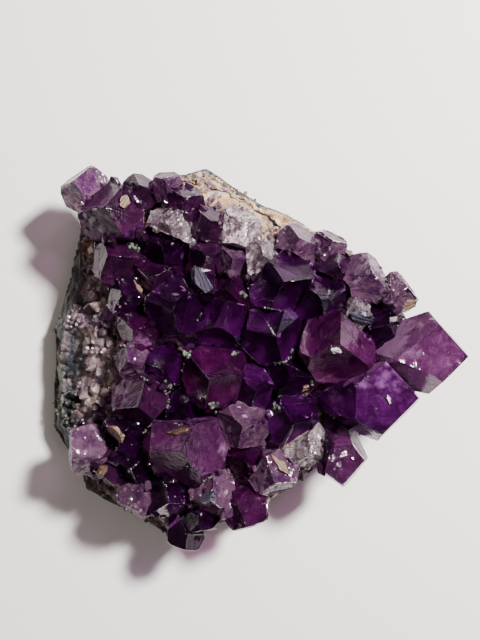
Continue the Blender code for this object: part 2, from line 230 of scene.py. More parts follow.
def veils(tree, place, cloud, milk):
    """How milky a spot is, the painted highlight on edges included, and how cloudy its whole crystal is,
    which below zero takes the milk away.
    """
    veil_noise = add(tree, "TexNoise", {"Vector": place, "Scale": 1 / VEIL_SIZE, "Detail": 6.0,
                                        "Roughness": 0.7, "Distortion": 0.8})
    veil = add(tree, "MapRange", {0: veil_noise, 1: 0.58, 2: 0.76, 4: milk}, **SMOOTH)
    # A healed crack is a thin pale sheet: the places where a noise is close to its middle.
    crack_noise = add(tree, "TexNoise", {"Vector": place, "Scale": 1 / CRACK_SPACING, "Detail": 4.0,
                                         "Roughness": 0.55, "Distortion": 1.2})
    off_middle = add(tree, "Math", {0: crack_noise, 1: 0.5}, operation="SUBTRACT")
    off_middle = add(tree, "Math", {0: off_middle}, operation="ABSOLUTE")
    crack = add(tree, "MapRange", {0: off_middle, 2: 0.010, 3: 0.08 + 0.3 * milk, 4: 0.0}, **SMOOTH)
    # Edges are pale in places: partly worn and bruised, partly a painted highlight along the ridges.
    pointiness = add(tree, "NewGeometry", out="Pointiness")
    edge = add(tree, "MapRange", {0: pointiness, 1: 0.53, 2: 0.60, 4: 0.7}, **SMOOTH)
    bruises = add(tree, "MapRange", {0: cloud, 1: 0.42, 2: 0.56}, **SMOOTH)
    edge_wear_and_highlight = add(tree, "Math", {0: edge, 1: bruises}, operation="MULTIPLY")
    # Cloudy crystals are mottled with milk as well.
    cloudy = add(tree, "Attribute", out="Fac", attribute_name="cloudy")
    mottle = add(tree, "MapRange", {0: veil_noise, 1: 0.42, 2: 0.68, 4: 1.9}, **SMOOTH)
    mottle = add(tree, "Math", {0: mottle, 1: cloudy}, operation="MULTIPLY", use_clamp=True)
    # The pale edges, partly a painted highlight, join the milky veils here.
    for share in (crack, edge_wear_and_highlight, mottle):
        veil = add(tree, "Math", {0: veil, 1: share}, operation="MAXIMUM")
    fresh = add(tree, "Math", {0: cloudy, 1: 0.0}, operation="MINIMUM")
    veil = add(tree, "Math", {0: veil, 1: fresh}, operation="ADD", use_clamp=True)
    return veil, cloudy


print("zones in mm:", ZONE_SIZE / MM, "veils:", VEIL_SIZE / MM, "cracks:", CRACK_SPACING / MM)

# %% The relief of a facet
LINE_SCALE = 0.45  # a wave texture's bands are 0.314 / scale wide, here 0.7 mm
UNEVEN_SIZE = 1.6 * MM
STEP_SIZE = 1.5 * MM
PLANE_SIZE = 1.3 * MM
PATCH_SIZE = 7 * MM
RELIEF = 0.28 * MM


def relief_of_facet(tree, place, crackle):
    """The normal and the roughness of a facet with growth lines, small steps and broken patches."""
    growth = add(tree, "Attribute", out="Vector", attribute_name="growth")
    lines = add(tree, "TexWave", {"Vector": growth, "Scale": LINE_SCALE, "Distortion": 5.0, "Detail": 2.0,
                                  "Detail Scale": 1.2}, out="Fac", bands_direction="Z")
    uneven = add(tree, "TexNoise", {"Vector": place, "Scale": 1 / UNEVEN_SIZE, "Detail": 4.0})
    steps = add(tree, "TexVoronoi", {"Vector": place, "Scale": 1 / STEP_SIZE}, feature="SMOOTH_F1")
    height = add(tree, "Math", {0: lines, 1: 0.16, 2: uneven}, operation="MULTIPLY_ADD")
    height = add(tree, "Math", {0: steps, 1: 2.4 * crackle, 2: height}, operation="MULTIPLY_ADD")
    # A broken patch is a mosaic of little planes, each leaning its own way.
    planes = add(tree, "TexVoronoi", {"Vector": place, "Scale": 1 / PLANE_SIZE}, out="Color")
    lean = add(tree, "VectorMath", {0: planes, 1: (0.5, 0.5, 0.5)}, operation="SUBTRACT")
    patches = add(tree, "TexNoise", {"Vector": place, "Scale": 1 / PATCH_SIZE, "Detail": 3.0})
    broken = add(tree, "MapRange", {0: patches, 1: 0.60 - 0.2 * crackle, 2: 0.66 - 0.2 * crackle,
                                    4: 0.2 + 0.7 * crackle}, **SMOOTH)
    lean = add(tree, "VectorMath", {0: lean, "Scale": broken}, operation="SCALE")
    facet = add(tree, "NewGeometry", out="Normal")
    facet = add(tree, "VectorMath", {0: facet, 1: lean}, operation="ADD")
    facet = add(tree, "VectorMath", {0: facet}, operation="NORMALIZE")
    relief = add(tree, "Bump", {"Height": height, "Strength": 0.25 + 0.5 * crackle, "Distance": RELIEF,
                                "Normal": facet})
    gloss = add(tree, "MapRange", {0: uneven, 1: 0.35, 2: 0.75, 3: 0.04, 4: 0.20}, **SMOOTH)
    gloss = add(tree, "Math", {0: broken, 1: 0.2, 2: gloss}, operation="MULTIPLY_ADD")
    return relief, gloss


print("broken planes in mm:", PLANE_SIZE / MM, "in patches of", PATCH_SIZE / MM)


# %% Amethyst and rock crystal
def let_lamps_in(tree, surface, output, window):
    """For a lamp's shadow rays, which don't bend, the stone is a plain tinted window."""
    lamp_ray = add(tree, "LightPath", out="Is Shadow Ray")
    pane = add(tree, "BsdfTransparent", {"Color": window})
    both = add(tree, "MixShader", {0: lamp_ray, 1: surface.outputs[0], 2: pane})
    tree.links.new(both, output.inputs["Surface"])


def crystal_material(name, root, body, tip, window, clear, stain, milk, crackle):
    """Polished quartz. clear is how much light goes into it, stain how much of it iron has reddened, milk
    how milky its veils are and crackle how broken its surface is."""
    material, tree, surface, output, place = new_material(name)
    colour, level, cloud = zones(tree, place, root, body, tip)
    veil, cloudy = veils(tree, place, cloud, milk)
    # Veils, cracks and pale edges take the root's colour; the pale edges are partly a painted highlight.
    colour = add(tree, "Mix", {0: veil, 6: colour, 7: root}, **COLOURS)
    if stain:
        rust = add(tree, "MapRange", {0: cloud, 1: 0.58, 2: 0.70, 4: stain}, **SMOOTH)
        colour = add(tree, "Mix", {0: rust, 6: colour, 7: "#761634"}, **COLOURS)
    relief, gloss = relief_of_facet(tree, place, crackle)
    clearness = add(tree, "MapRange", {0: level, 2: 0.5, 3: 0.4 * clear, 4: clear}, **SMOOTH)
    blocked = add(tree, "Math", {0: veil, 1: cloudy}, operation="ADD", use_clamp=True)
    open_share = add(tree, "Math", {0: 1.0, 1: blocked}, operation="SUBTRACT")
    seen_through = add(tree, "Math", {0: clearness, 1: open_share}, operation="MULTIPLY")
    feed(tree, surface, {"Base Color": colour, "Normal": relief, "Roughness": gloss, "IOR": QUARTZ_IOR,
                         "Transmission Weight": seen_through, "Specular IOR Level": 0.18 + 0.32 * crackle})
    let_lamps_in(tree, surface, output, window)
    return material


def seam_material(name, deep, middle, root):
    """The rough inner wall of a crystal, where it has grown against its neighbours or into the crust."""
    material, tree, surface, _, place = new_material(name)
    reach = add(tree, "Attribute", out="Fac", attribute_name="reach")
    cloud = add(tree, "TexNoise", {"Vector": place, "Scale": 1 / (2.4 * MM), "Detail": 6.0, "Roughness": 0.7})
    wander = add(tree, "MapRange", {0: cloud, 1: 0.25, 2: 0.75, 3: -0.6, 4: 0.6})
    level = add(tree, "Math", {0: reach, 1: wander}, operation="ADD")
    colour = add(tree, "ValToRGB", {0: level}, stops=((0.0, root), (0.32, middle), (0.72, deep)))
    relief = add(tree, "Bump", {"Height": cloud, "Strength": 0.8, "Distance": 1.0 * MM})
    feed(tree, surface, {"Base Color": colour, "Normal": relief, "Roughness": 0.3, "IOR": QUARTZ_IOR})
    return material


# Each tone: the polished stone's root, body and tip, what a lamp's light takes on in it, how clear it is,
# its stain, milk and crackle; then the inner wall's upper, middle and root colours.
TONES = {
    "amethyst_deep": (("#86588a", "#6a2072", "#481450", "#7e4a88", 0.92, 0.0, 0.2, 0.10),
                      ("#180420", "#4a1256", "#80507c")),
    "amethyst_wine": (("#96688c", "#6e246a", "#4e184e", "#864c80", 0.86, 0.3, 0.3, 0.15),
                      ("#220828", "#5a1c54", "#8a5e7a")),
    "amethyst_violet": (("#8a6a88", "#64305f", "#481e4a", "#7a5076", 0.78, 0.0, 0.4, 0.35),
                        ("#280a2e", "#682e6a", "#946f92")),
    "amethyst_lilac": (("#a48c9c", "#805e7a", "#623864", "#70586e", 0.62, 0.0, 0.5, 0.7),
                       ("#3c1a40", "#764e74", "#a2909a")),
    "quartz_clear": (("#e6e0e2", "#dcd2d8", "#ac9aaa", "#b4aab0", 0.84, 0.0, 0.42, 1.0),
                     ("#7c667a", "#c0b2bc", "#e2dedc")),
}
stone = {name: crystal_material(name, *polished) for name, (polished, _) in TONES.items()}
inner = {name: seam_material(name + "_inner_wall", *walls) for name, (_, walls) in TONES.items()}
print("materials of the crystals:", sorted(stone) + sorted(material.name for material in inner.values()))

# %% [markdown]
# ## The crystals' surface
#
# Each crystal starts as a copy of its solid, whose loose triangles are merged to whole facets. A real
# quartz facet is almost flat: it waves by about a tenth of a millimetre, which is what makes its glints
# run. Its edges are crisp but never knife-sharp, and many tips are chipped. Fifty-seven crystals are too
# many to carve one by one, so the same few cuts are made on each, with chances seeded by its name. Facets
# that touch a neighbour get the rough inner wall, a few corners are cut off, some facets get a growth
# step, and then modifiers subdivide, bevel and gently displace the whole crystal.


# %% Working on one piece with operators
def only(piece):
    """Selects one object and makes it active."""
    bpy.ops.object.select_all(action="DESELECT")
    piece.select_set(True)
    bpy.context.view_layer.objects.active = piece


def edit(piece, kind, chosen):
    """Goes into edit mode with only the chosen vertices (VERT) or faces (FACE) selected."""
    only(piece)
    mesh = piece.data
    for group in (mesh.vertices, mesh.edges, mesh.polygons):
        group.foreach_set("select", [False] * len(group))
    for i in chosen:
        (mesh.vertices if kind == "VERT" else mesh.polygons)[i].select = True
    bpy.ops.object.mode_set(mode="EDIT")
    bpy.ops.mesh.select_mode(type=kind)


def edit_all_faces(piece):
    edit(piece, "FACE", range(len(piece.data.polygons)))


def done():
    bpy.ops.object.mode_set(mode="OBJECT")


def apply_modifier(piece, kind, **settings):
    only(piece)
    modifier = piece.modifiers.new(kind.lower(), kind)
    for name, value in settings.items():
        setattr(modifier, name, value)
    bpy.ops.object.modifier_apply(modifier=modifier.name)


def smooth_up_to(piece, degrees):
    """Smooth shading that keeps the edges sharper than an angle."""
    only(piece)
    bpy.ops.object.shade_smooth_by_angle(angle=math.radians(degrees))


# %% Copies of the frame's solids
MERGE_DISTANCE = 0.01 * MM
FLAT_ANGLE = math.radians(1.5)


def copy_of(node_name, piece_name, facets=False):
    """A new piece with a copy of a CAD node's mesh, its loose triangles merged, also to whole facets."""
    mesh = nodes[node_name].data.copy()
    mesh.materials.clear()
    piece = bpy.data.objects.new(piece_name, mesh)
    bpy.context.scene.collection.objects.link(piece)
    only(piece)
    bpy.ops.object.mode_set(mode="EDIT")
    bpy.ops.mesh.select_all(action="SELECT")
    bpy.ops.mesh.remove_doubles(threshold=MERGE_DISTANCE)
    done()
    if facets:
        edit_all_faces(piece)
        bpy.ops.mesh.dissolve_limited(angle_limit=FLAT_ANGLE)
        done()
    return piece


def pattern_texture(name, size, kind="CLOUDS"):
    """A displacement pattern whose features are about size metres across."""
    texture = bpy.data.textures.new(name, kind)
    texture.noise_scale = size
    return texture


facet_waves = pattern_texture("facet_waves", 4.5 * MM)
crackle_cells = pattern_texture("crackle", 1.5 * MM, "VORONOI")
print("patterns that move facets:", facet_waves.name, crackle_cells.name)


# %% Where crystals touch
SEAM_REACH = 0.6 * MM
JUST_OFF = 0.02 * MM  # a ray starts this far off a facet, so that it doesn't hit that facet


def all_around():
    """One tree of every CAD node's faces, and the name of the node that each face belongs to."""
    corners, faces, owners = [], [], []
    for name in sorted(nodes):
        mesh = nodes[name].data
        start = len(corners)
        corners += [vertex.co.copy() for vertex in mesh.vertices]
        faces += [[start + i for i in polygon.vertices] for polygon in mesh.polygons]
        owners += [name] * len(mesh.polygons)
    return BVHTree.FromPolygons(corners, faces), owners


def touches(polygon):
    """True where something else starts within a seam's width of the facet's middle."""
    start = polygon.center + polygon.normal * JUST_OFF
    return around.ray_cast(start, polygon.normal, SEAM_REACH)[0] is not None


around, owner_of = all_around()
print("faces that a seam may touch:", len(owner_of))


# %% A crystal's own frame
def crystal_axis(mesh):
    """The crystal's direction, its tip, and its length: its root facet lies lowest, square to its length."""
    root = min(mesh.polygons, key=lambda polygon: polygon.center.z)
    axis = -root.normal.copy()
    tip = max((vertex.co for vertex in mesh.vertices), key=lambda corner: corner.dot(axis)).copy()
    return axis, tip, (tip - root.center).dot(axis)


def write_growth(piece, axis, tip, length, cloudy=0.0, pale=0.0):
    """Stores each vertex's place in the crystal's own frame in millimetres, its share of the length above
    the pale part, and how cloudy the whole crystal is."""
    turn = axis.to_track_quat("Z", "Y").to_matrix().transposed()
    mesh = piece.data
    own = [turn @ (vertex.co - tip + axis * length) for vertex in mesh.vertices]
    growth = mesh.attributes.new("growth", "FLOAT_VECTOR", "POINT")
    growth.data.foreach_set("vector", [side / MM for place in own for side in place])
    reach = mesh.attributes.new("reach", "FLOAT", "POINT")
    reach.data.foreach_set("value", [(place.z / length - pale) / (1.0 - pale) for place in own])
    mesh.attributes.new("cloudy", "FLOAT", "POINT").data.foreach_set("value", [cloudy] * len(own))


# %% What sets single crystals apart
SPARKLING = {  # crystals whose broken, crackled faces glitter
    "crystal_north_clear", "crystal_north_sparkling", "crystal_south_sparkling", "crystal_south_milky",
    "crystal_north_east_outer", "crystal_east_slab", "crystal_south_east_clear", "crystal_core_north_pale",
}
CLOUDY = {  # crystals that look more solid than the rest, most of them out over the floor
    "crystal_east_giant": 0.18, "crystal_south_east_giant": 0.12, "crystal_south_east_spur": 0.10,
    "crystal_north_west_pale": 0.14, "crystal_south_west_pale": 0.10, "crystal_south_point": 0.05,
    "crystal_south_large": 0.12, "crystal_east_wine_large": 0.08, "crystal_core_south_middle": 0.1,
}
PALE_PART = {  # how much of a crystal's length its pale root takes up; below zero it is dark from the start
    "crystal_east_giant": 0.34, "crystal_south_east_giant": 0.25, "crystal_east_wine_large": 0.15,
    "crystal_south_large": 0.10, "crystal_south_west_small": 0.2, "crystal_core_shield": 0.25,
    "crystal_core_east_deep": 0.2, "crystal_core_east_wedge": 0.15, "crystal_north_west_large": 0.1,
    "crystal_south_point": -0.5, "crystal_south_tip": -0.9, "crystal_south_west_pale": -0.5,
    "crystal_north_west_pale": -0.35,
}
print("sparkling:", len(SPARKLING), "cloudy:", len(CLOUDY), "with a root of their own:", len(PALE_PART))

# %% Knocks and growth steps
CORNER_SWAY = 0.28  # how oddly a corner's plane leans
CHIPPED_SHARE = 0.25  # of the upper corners are chipped
STEPPED_SHARE = 0.45  # of the larger facets carry a growth step
SMALLEST_STEPPED = 10 * MM * MM


def jitter(chance, amount):
    return Vector((chance.gauss(0, amount), chance.gauss(0, amount), chance.gauss(0, amount)))


def break_corners(piece, axis, tip, length, girth, chance):
    """Cuts a few corners off the upper part along odd planes, as knocks and crowded growth leave them."""
    mesh = piece.data
    heart = tip - axis * 0.6 * length
    for _ in range(chance.choice((1, 2, 2, 3, 4))):
        upper = [v.co.copy() for v in mesh.vertices if (tip - v.co).dot(axis) < 0.6 * length]
        corner = chance.choice(sorted(upper, key=lambda place: tuple(place)))
        away = (corner - heart).normalized() + jitter(chance, CORNER_SWAY)
        away.normalize()
        top = max(v.co.dot(away) for v in mesh.vertices)
        depth = girth * chance.uniform(0.05, 0.2)
        edit_all_faces(piece)
        bpy.ops.mesh.bisect(plane_co=away * (top - depth), plane_no=away, use_fill=True, clear_outer=True)
        done()


def chip_corners(piece, axis, tip, length, chance):
    """Chips some of the upper corners."""
    upper = [v.index for v in piece.data.vertices if (tip - v.co).dot(axis) < 0.55 * length]
    chipped = [i for i in upper if chance.random() < CHIPPED_SHARE]
    if chipped:
        edit(piece, "VERT", chipped)
        bpy.ops.mesh.bevel(offset=chance.uniform(0.3, 0.8) * MM, affect="VERTICES", clamp_overlap=True)
        done()


def step_facets(piece, axis, girth, chance):
    """Sinks the middle of some upward facets, as a last layer of growth that stopped short of the edges."""
    stepped = [p.index for p in piece.data.polygons if p.material_index == 0 and p.normal.dot(axis) > 0.35
               and p.area > SMALLEST_STEPPED and chance.random() < STEPPED_SHARE]
    for index in stepped:
        edit(piece, "FACE", [index])
        thickness = chance.uniform(0.05, 0.16) * girth
        bpy.ops.mesh.inset(thickness=thickness, depth=-0.22 * thickness)
        done()


# %% Finish one crystal
SEAM_CLOSING = 0.17 * MM  # how far inner walls move out, to meet their neighbour's
EDGE_BEVEL = 0.13 * MM
CRACKLE_DEPTH = 0.3 * MM
WAVE_DEPTH = 0.14 * MM
ROOT_AREA = 2.6  # a root hexagon's area over its half width squared


def give_stone(piece, slot):
    """Polished stone all over, and the rough inner wall where a facet touches something."""
    mesh = piece.data
    mesh.materials.append(stone[slot])
    mesh.materials.append(inner[slot])
    walls = [polygon.index for polygon in mesh.polygons if touches(polygon)]
    for index in walls:
        mesh.polygons[index].material_index = 1
    if walls:
        edit(piece, "FACE", walls)
        bpy.ops.transform.shrink_fatten(value=SEAM_CLOSING)
        done()


def finished_crystal(node_name):
    """The piece that stands for one crystal."""
    chance = random.Random(node_name)
    piece = copy_of(node_name, "fine_" + node_name, facets=True)
    axis, tip, length = crystal_axis(piece.data)
    girth = math.sqrt(min(piece.data.polygons, key=lambda polygon: polygon.center.z).area / ROOT_AREA)
    give_stone(piece, slot_of[node_name])
    break_corners(piece, axis, tip, length, girth, chance)
    chip_corners(piece, axis, tip, length, chance)
    step_facets(piece, axis, girth, chance)
    apply_modifier(piece, "TRIANGULATE")
    apply_modifier(piece, "SUBSURF", subdivision_type="SIMPLE", levels=3, render_levels=3)
    apply_modifier(piece, "BEVEL", width=EDGE_BEVEL, segments=2, limit_method="ANGLE",
                   angle_limit=math.radians(14))
    if node_name in SPARKLING:
        apply_modifier(piece, "DISPLACE", texture=crackle_cells, strength=-CRACKLE_DEPTH, mid_level=0.0)
    apply_modifier(piece, "DISPLACE", texture=facet_waves, strength=-WAVE_DEPTH, mid_level=0.0)
    smooth_up_to(piece, 11)
    write_growth(piece, axis, tip, length, CLOUDY.get(node_name, 0.0), PALE_PART.get(node_name, 0.0))
    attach(piece, "root")
    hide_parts(node_name)
    return piece


# %% All the crystals
crystals = [finished_crystal(name) for name in crystal_names]
print("crystals:", len(crystals), "with", sum(len(piece.data.polygons) for piece in crystals), "faces")

# %% [markdown]
# ## The wall of rock
#
# The wall broke out of the geode, so its flanks are rough, and each layer breaks in its own way: the rind
# crumbles, the agate splinters, and the quartz crust breaks to sugary grains. A bump alone would leave the
# outline straight, so the shape itself is broken. Each layer is a copy of its solid, remeshed to even quads
# of about half a millimetre, and pushed in along its normals by patterns of three sizes. Pushing in, never
# out, keeps the rock inside its real size. The layers are bonded, so each one's upper and lower sides are
# first moved out a little, to close the joints between the solids.

# %% Stains and grain
GRAIN = {"Detail": 6.0, "Roughness": 0.6}  # rough at every scale, as broken rock is


def stained(tree, place, colour, size, low, high, strength, stain, where=None):
    """A colour with spots of a stain over it, where a pattern of a size rises from low to high."""
    spots = add(tree, "TexNoise", {"Vector": place, "Scale": 1 / size, **GRAIN})
    share = add(tree, "MapRange", {0: spots, 1: low, 2: high, 4: strength}, **SMOOTH)
    if where is not None:
        share = add(tree, "Math", {0: share, 1: where}, operation="MULTIPLY")
    return add(tree, "Mix", {0: share, 6: colour, 7: stain}, **COLOURS)


def grain_relief(tree, place, size, strength, depth):
    """The normal of a surface that broke to grains of a size."""
    grain = add(tree, "TexNoise", {"Vector": place, "Scale": 1 / size, **GRAIN})
    return add(tree, "Bump", {"Height": grain, "Strength": strength, "Distance": depth})


print("grain of broken rock:", GRAIN)

# %% The crust's material
RIM_FROM, RIM_TO = 22 * MM, 38 * MM  # the northern rim turns from mauve to beige here
WEST_FROM, WEST_TO = -28 * MM, -40 * MM
EDGE_FROM, EDGE_TO = -44 * MM, -50 * MM


def crust_material():
    """Milky quartz that broke to grains of about 2 mm: mauve-grey with painted shade in the west, beige along
    the north.
    """
    material, tree, surface, _, place = new_material("milky_quartz")
    east = add(tree, "SeparateXYZ", {0: place}, out="X")
    north = add(tree, "SeparateXYZ", {0: place}, out="Y")
    rim = add(tree, "MapRange", {0: north, 1: RIM_FROM, 2: RIM_TO}, **SMOOTH)
    west = add(tree, "MapRange", {0: east, 1: WEST_FROM, 2: WEST_TO}, **SMOOTH)
    edge = add(tree, "MapRange", {0: east, 1: EDGE_FROM, 2: EDGE_TO}, **SMOOTH)
    grains = add(tree, "TexVoronoi", {"Vector": place, "Scale": 1 / (2.1 * MM)}, out="Color")
    tint = add(tree, "SeparateColor", {0: grains})
    cloud = add(tree, "TexNoise", {"Vector": place, "Scale": 1 / (6 * MM), **GRAIN})
    # The mauve is the slopes' own tone, darkened as painted shade where they face away from the key light.
    mauve_and_painted_shade = add(tree, "ValToRGB", {0: cloud}, stops=(
        (0.34, "#3c2f38"), (0.46, "#66565f"), (0.56, "#8a7976"), (0.68, "#a99a92")))
    beige = add(tree, "ValToRGB", {0: cloud}, stops=(
        (0.34, "#7c6560"), (0.46, "#a8917f"), (0.56, "#c2af96"), (0.68, "#9a8598")))
    colour = add(tree, "Mix", {0: rim, 6: mauve_and_painted_shade, 7: beige}, **COLOURS)
    pale = add(tree, "MapRange", {0: tint, 1: 0.76, 2: 0.96, 4: 0.6}, **SMOOTH)
    colour = add(tree, "Mix", {0: pale, 6: colour, 7: "#cfc5bf"}, **COLOURS)
    dark = add(tree, "MapRange", {0: tint, 2: 0.22, 3: 0.7, 4: 0.0}, **SMOOTH)
    colour = add(tree, "Mix", {0: dark, 6: colour, 7: "#57425a"}, **COLOURS)
    # Agate shows at the western edge, yellow iron along the northern rim, brown spots on the slope.
    colour = stained(tree, place, colour, 8 * MM, 0.40, 0.52, 1.0, "#363a40", edge)
    colour = stained(tree, place, colour, 5 * MM, 0.54, 0.64, 1.0, "#c4913a", rim)
    colour = stained(tree, place, colour, 3 * MM, 0.56, 0.66, 0.85, "#47302c", west)
    relief = grain_relief(tree, place, 1.0 * MM, 1.0, 0.7 * MM)
    gloss = add(tree, "MapRange", {0: tint, 1: 0.2, 2: 0.8, 3: 0.18, 4: 0.6}, **SMOOTH)
    feed(tree, surface, {"Base Color": colour, "Normal": relief, "Roughness": gloss, "IOR": QUARTZ_IOR,
                         "Subsurface Weight": 0.2, "Subsurface Radius": (1.0, 0.8, 0.8),
                         "Subsurface Scale": 0.9 * MM})
    return material


# %% The agate's and the rind's materials
BAND_TURNS = 4.2  # radians of a band to a millimetre, so a band is 1.5 mm wide
BAND_SWAY = 3.2  # how many millimetres the bands bend


def agate_material():
    """Blue-grey chalcedony in faint bands that follow the layer, with dirt on it."""
    material, tree, surface, _, place = new_material("banded_agate")
    depth = add(tree, "Attribute", out="Fac", attribute_name="layer_depth")
    sway = add(tree, "TexNoise", {"Vector": place, "Scale": 1 / (7 * MM), "Detail": 3.0, "Roughness": 0.6})
    bend = add(tree, "Math", {0: sway, 1: BAND_SWAY, 2: depth}, operation="MULTIPLY_ADD")
    turns = add(tree, "Math", {0: bend, 1: BAND_TURNS}, operation="MULTIPLY")
    band = add(tree, "Math", {0: turns}, operation="SINE")
    band = add(tree, "MapRange", {0: band, 1: -1.0}, **SMOOTH)
    colour = add(tree, "ValToRGB", {0: band}, stops=(
        (0.0, "#363b41"), (0.45, "#4c5155"), (0.75, "#6c6c66"), (1.0, "#42474b")))
    dirt = add(tree, "TexNoise", {"Vector": place, "Scale": 1 / (6 * MM), "Detail": 8.0, "Roughness": 0.7})
    dirt = add(tree, "MapRange", {0: dirt, 1: 0.40, 2: 0.66}, **SMOOTH)
    colour = add(tree, "Mix", {0: dirt, 6: colour, 7: "#514c46"}, **COLOURS)
    colour = stained(tree, place, colour, 1.8 * MM, 0.58, 0.66, 0.8, "#7f7b72")
    relief = grain_relief(tree, place, 0.9 * MM, 0.8, 0.3 * MM)
    gloss = add(tree, "MapRange", {0: dirt, 3: 0.25, 4: 0.7}, **SMOOTH)
    feed(tree, surface, {"Base Color": colour, "Normal": relief, "Roughness": gloss, "IOR": QUARTZ_IOR})
    return material


def rind_material():
    """Altered basalt: dull grey-green with rusty pits and pale crumbs, and no gloss at all."""
    material, tree, surface, _, place = new_material("altered_basalt")
    cloud = add(tree, "TexNoise", {"Vector": place, "Scale": 1 / (5 * MM), **GRAIN})
    colour = add(tree, "ValToRGB", {0: cloud}, stops=((0.30, "#34382f"), (0.5, "#555c4c"), (0.7, "#84896f")))
    colour = stained(tree, place, colour, 3.5 * MM, 0.56, 0.66, 0.8, "#5d4030")
    specks = add(tree, "TexVoronoi", {"Vector": place, "Scale": 1 / (1.1 * MM)})
    pale = add(tree, "MapRange", {0: specks, 2: 0.22, 3: 0.7, 4: 0.0}, **SMOOTH)
    colour = add(tree, "Mix", {0: pale, 6: colour, 7: "#a5a894"}, **COLOURS)
    relief = grain_relief(tree, place, 0.7 * MM, 1.0, 0.35 * MM)
    feed(tree, surface, {"Base Color": colour, "Normal": relief, "Roughness": 0.92})
    return material


rock = {"quartz_crust": crust_material(), "agate_band": agate_material(), "basalt_rind": rind_material()}
print("materials of the rock:", sorted(material.name for material in rock.values()))

# %% The three layers
VOXEL = 0.55 * MM
BOND = 0.22 * MM  # how far a layer's flat sides move out, to close its joints
FLOOR_KEPT = 0.3 * MM  # the resting face stays flat up to here
breaks = {
    "coarse": pattern_texture("coarse_breaks", 5 * MM, "VORONOI"),
    "medium": pattern_texture("medium_breaks", 2.0 * MM, "VORONOI"),
    "fine": pattern_texture("fine_grain", 0.9 * MM),
}
PUSHES = {  # how deep each pattern bites, in millimetres
    "basalt_rind": {"coarse": 0.8, "medium": 0.5, "fine": 0.3},
    "agate_band": {"coarse": 1.3, "medium": 0.6, "fine": 0.25},
    "quartz_crust": {"coarse": 2.4, "medium": 1.2, "fine": 0.4},
}


def is_bonded(node_name, normal):
    """True for a direction in which this layer's surface is stuck to another layer."""
    up = normal.z if node_name != "quartz_crust" else -normal.z
    return (abs(up) if node_name == "agate_band" else up) > 0.8


def free_share(node_name, vertex):
    """How much a vertex may be pushed in: 0 on bonded and resting faces, 1 on the open rock."""
    above = min(max((vertex.co.z - FLOOR_KEPT) / (2 * MM), 0.0), 1.0)
    open_above = node_name == "quartz_crust" and vertex.normal.z > 0
    open_below = node_name == "basalt_rind" and vertex.normal.z < 0
    if open_above or open_below:
        return above
    return above * min(max((0.9 - abs(vertex.normal.z)) / 0.35, 0.0), 1.0)


def without_crumbs(piece):
    """The largest connected part of a piece. A remesh leaves loose voxels where the solid has thin edges."""
    name = piece.name
    edit_all_faces(piece)
    bpy.ops.mesh.separate(type="LOOSE")
    done()
    parts = sorted(bpy.context.selected_objects, key=lambda part: len(part.data.polygons))
    for part in parts[:-1]:
        bpy.data.objects.remove(part)
    parts[-1].name = name
    return parts[-1]


def finished_layer(node_name):
    """The piece that stands for one layer of the wall."""
    piece = copy_of(node_name, "fine_" + node_name)
    apply_modifier(piece, "REMESH", mode="VOXEL", voxel_size=VOXEL)
    piece = without_crumbs(piece)
    apply_modifier(piece, "SMOOTH", factor=0.5, iterations=3)  # takes the remesh's little stairs away
    mesh = piece.data
    free = piece.vertex_groups.new(name="free_to_break")
    for vertex in mesh.vertices:
        free.add([vertex.index], free_share(node_name, vertex), "REPLACE")
    edit(piece, "FACE", [p.index for p in mesh.polygons if is_bonded(node_name, p.normal)])
    bpy.ops.transform.shrink_fatten(value=BOND)
    done()
    for name, depth in PUSHES[node_name].items():
        apply_modifier(piece, "DISPLACE", texture=breaks[name], strength=-depth * MM, mid_level=0.0,
                       vertex_group="free_to_break")
    smooth_up_to(piece, 35)
    mesh.materials.append(rock[node_name])
    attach(piece, "root")
    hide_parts(node_name)
    return piece


# %% All three, and the agate's depths
layers = {name: finished_layer(name) for name in layer_names}

# The agate's bands follow how far a spot lies above the rind's upper side.
rind_tree = BVHTree.FromPolygons([v.co for v in nodes["basalt_rind"].data.vertices],
                                 [p.vertices for p in nodes["basalt_rind"].data.polygons])
agate = layers["agate_band"].data
depths = [rind_tree.find_nearest(vertex.co)[3] / MM for vertex in agate.vertices]
agate.attributes.new("layer_depth", "FLOAT", "POINT").data.foreach_set("value", depths)
print("rock faces:", {name: len(piece.data.polygons) for name, piece in layers.items()})


# %% [markdown]
# ## Small crystals
#
# Between the large crystals and on the slopes stand hundreds of small ones. A particle system would strew
# them anywhere; here each is set in a valley or on open rock. One point is modelled, a short six-sided
# prism with a pyramid, and copied. In the valleys, the copies are 1 to 4 mm wide and share the stone of the
# crystal beside them. On the bare crust stand points of 2 to 4 mm, and between them a druse, a skin of
# points of about 1 mm, in patches. The finest druse lies on some of the large crystals, where it glitters.

# %% One small point
POINT_RISE = 1.27  # a quartz pyramid's height over its half width
TALLER = 2.4  # a point has the colours of the upper part of a crystal that is so many times as long
FRESH = -0.45  # and few veils, because it is young


def point_mesh(name, prism):
    """A six-sided point, 1 mm in half width, on a prism, with its base just under the origin."""
    bpy.ops.object.select_all(action="DESELECT")
    bpy.ops.mesh.primitive_cone_add(vertices=6, radius1=MM, radius2=0.0, depth=POINT_RISE * MM,
                                    end_fill_type="NGON")
    piece = bpy.context.active_object
    piece.name = name
    base = [p.index for p in piece.data.polygons if p.normal.z < -0.9]
    edit(piece, "FACE", base)
    bpy.ops.mesh.extrude_region_move(TRANSFORM_OT_translate={"value": (0.0, 0.0, -prism * MM)})
    bpy.ops.transform.resize(value=(0.85, 0.85, 1.0))
    done()
    piece.data.transform(Matrix.Translation((0.0, 0.0, (0.5 * POINT_RISE + prism * 0.4) * MM)))
    tip = Vector((0.0, 0.0, max(vertex.co.z for vertex in piece.data.vertices)))
    write_growth(piece, Vector((0.0, 0.0, 1.0)), tip, TALLER * (POINT_RISE + prism) * MM, cloudy=FRESH)
    return piece


small_point = point_mesh("small_point", 1.5)
print("one point has", len(small_point.data.polygons), "faces")


